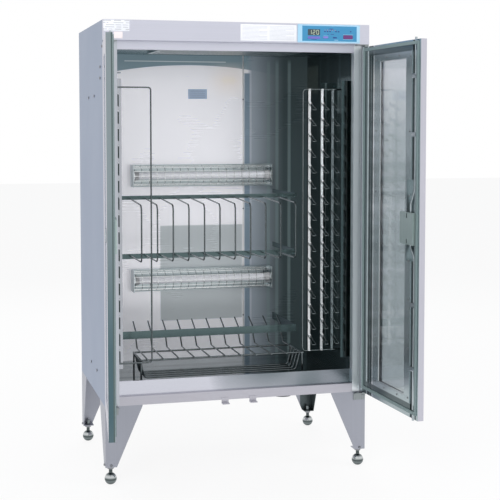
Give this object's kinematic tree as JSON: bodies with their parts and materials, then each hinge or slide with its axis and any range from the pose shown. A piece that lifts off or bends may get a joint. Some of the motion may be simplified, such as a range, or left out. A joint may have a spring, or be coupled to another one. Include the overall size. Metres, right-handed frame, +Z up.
{
  "type": "dish sterilizer cabinet",
  "caption": "Free-standing stainless sterilizer cabinet with swing doors, rod latches, germicidal lamps, wire racks, blue control panel and tapered legs on ball feet.",
  "frame": {"origin": "on the floor, under the middle of the cabinet's outline with its doors standing open", "axes": "+Z up, +X to the right of somebody facing the cabinet, +Y towards its back"},
  "size_m": [0.9993, 1.0725, 1.515],
  "materials": {
    "stainless_outer": "fine brushed stainless sheet",
    "stainless_inner": "bright stainless sheet",
    "polished_steel": "polished stainless",
    "rack_wire": "electropolished stainless wire",
    "lamp_reflector": "folded sheet",
    "lamp_glass": "quartz glass tube",
    "door_glass": "tempered glass",
    "gasket_rubber": "black seal",
    "black_plastic": "moulded",
    "panel_blue": "printed film overlay",
    "button_grey": "embossed key",
    "button_plum": "embossed key",
    "circuit_board": "glass fibre board",
    "mineral_wool": "mineral wool pad",
    "galvanized": "zinc coated steel"
  },
  "bodies": {
    "cabinet": {"side_panel_left": "stainless_outer", "side_panel_right": "stainless_outer", "side_screws": "polished_steel", "back_panel": "stainless_outer", "cable_gland": "black_plastic", "front_posts": "stainless_outer", "lintel": "stainless_outer", "bottom_panel": "stainless_outer", "liner_left": "stainless_inner", "liner_right": "stainless_inner", "liner_back": "stainless_inner", "floor_pan": "stainless_inner", "ceiling_panel": "stainless_inner", "ceiling_grille": "stainless_inner", "insulation": "mineral_wool", "head_fascia": "stainless_outer", "top_cover": "stainless_outer", "control_panel": "panel_blue", "control_board": "circuit_board", "lamp_ballasts": "galvanized", "blower_housing": "galvanized", "blower_motor": "galvanized", "air_heater": "galvanized", "lamp_housings": "lamp_reflector", "lamp_tubes": "lamp_glass", "lamp_guards": "rack_wire", "pilasters": "stainless_inner", "board_rack_upper": "rack_wire", "board_rack_lower": "rack_wire", "side_loop": "rack_wire", "knife_rack": "rack_wire", "drain_fitting": "polished_steel", "rod_keeps": "black_plastic", "hinge_brackets": "polished_steel", "legs": "stainless_outer", "foot_nuts": "polished_steel"},
    "left_door": {"left_door_shell": "stainless_outer", "left_door_inner_panel": "stainless_inner", "left_door_glass": "door_glass", "left_door_gasket": "gasket_rubber", "left_door_latch_case": "polished_steel"},
    "left_handle": {"left_door_handle": "polished_steel"},
    "left_rod_upper": {"left_door_rod_upper": "polished_steel"},
    "left_rod_lower": {"left_door_rod_lower": "polished_steel"},
    "right_door": {"right_door_shell": "stainless_outer", "right_door_inner_panel": "stainless_inner", "right_door_glass": "door_glass", "right_door_gasket": "gasket_rubber", "right_door_latch_case": "polished_steel"},
    "right_handle": {"right_door_handle": "polished_steel"},
    "right_rod_upper": {"right_door_rod_upper": "polished_steel"},
    "right_rod_lower": {"right_door_rod_lower": "polished_steel"},
    "impeller": {"blower_impeller": "galvanized"},
    "button_power": {"button_power": "button_grey"},
    "button_select": {"button_select": "button_grey"},
    "button_start": {"button_start": "button_plum"},
    "foot_front_left": {"foot_front_left": "polished_steel"},
    "foot_front_right": {"foot_front_right": "polished_steel"},
    "foot_rear_left": {"foot_rear_left": "polished_steel"},
    "foot_rear_right": {"foot_rear_right": "polished_steel"}
  },
  "joints": [
    {"name": "left_door_swing", "type": "hinge", "parent": "cabinet", "child": "left_door", "pos_m": [-0.442, -0.09748, 0.853], "axis": [0, 0, 1], "range_deg": [-23, 97]},
    {"name": "left_handle_turn", "type": "hinge", "parent": "left_door", "child": "left_handle", "pos_m": [-0.49665, -0.46052, 0.858], "axis": [-0.9925, 0.1219, 0], "range_deg": [0, 90]},
    {"name": "left_rod_upper_slide", "type": "slide", "parent": "left_door", "child": "left_rod_upper", "axis": [0, 0, 1], "range_m": [0, 0.012]},
    {"name": "left_rod_lower_slide", "type": "slide", "parent": "left_door", "child": "left_rod_lower", "axis": [0, 0, -1], "range_m": [0, 0.012]},
    {"name": "right_door_swing", "type": "hinge", "parent": "cabinet", "child": "right_door", "pos_m": [0.442, -0.09748, 0.853], "axis": [0, 0, 1], "range_deg": [-92.6, 27.4]},
    {"name": "right_handle_turn", "type": "hinge", "parent": "right_door", "child": "right_handle", "pos_m": [0.46864, -0.46364, 0.858], "axis": [-0.999, -0.0454, 0], "range_deg": [0, 90]},
    {"name": "right_rod_upper_slide", "type": "slide", "parent": "right_door", "child": "right_rod_upper", "axis": [0, 0, 1], "range_m": [0, 0.012]},
    {"name": "right_rod_lower_slide", "type": "slide", "parent": "right_door", "child": "right_rod_lower", "axis": [0, 0, -1], "range_m": [0, 0.012]},
    {"name": "impeller_spin", "type": "hinge", "parent": "cabinet", "child": "impeller", "pos_m": [-0.11, 0.11102, 1.459], "axis": [0, 0, 1], "continuous": true},
    {"name": "power_press", "type": "slide", "parent": "cabinet", "child": "button_power", "axis": [0, 1, 0], "range_m": [0, 0.0008], "stiffness_N_per_m": 400},
    {"name": "select_press", "type": "slide", "parent": "cabinet", "child": "button_select", "axis": [0, 1, 0], "range_m": [0, 0.0008], "stiffness_N_per_m": 400},
    {"name": "start_press", "type": "slide", "parent": "cabinet", "child": "button_start", "axis": [0, 1, 0], "range_m": [0, 0.0008], "stiffness_N_per_m": 400},
    {"name": "foot_front_left_turn", "type": "hinge", "parent": "cabinet", "child": "foot_front_left", "pos_m": [-0.431, -0.06498, 0.056], "axis": [0, 0, 1], "continuous": true},
    {"name": "foot_front_right_turn", "type": "hinge", "parent": "cabinet", "child": "foot_front_right", "pos_m": [0.431, -0.06498, 0.056], "axis": [0, 0, 1], "continuous": true},
    {"name": "foot_rear_left_turn", "type": "hinge", "parent": "cabinet", "child": "foot_rear_left", "pos_m": [-0.431, 0.49702, 0.056], "axis": [0, 0, 1], "continuous": true},
    {"name": "foot_rear_right_turn", "type": "hinge", "parent": "cabinet", "child": "foot_rear_right", "pos_m": [0.431, 0.49702, 0.056], "axis": [0, 0, 1], "continuous": true}
  ],
  "couplings": [
    {"joint": "left_rod_upper_slide", "follows": "left_handle_turn", "m_per_rad": 0.0076},
    {"joint": "left_rod_lower_slide", "follows": "left_handle_turn", "m_per_rad": 0.0076},
    {"joint": "right_rod_upper_slide", "follows": "right_handle_turn", "m_per_rad": 0.0076},
    {"joint": "right_rod_lower_slide", "follows": "right_handle_turn", "m_per_rad": 0.0076}
  ]
}
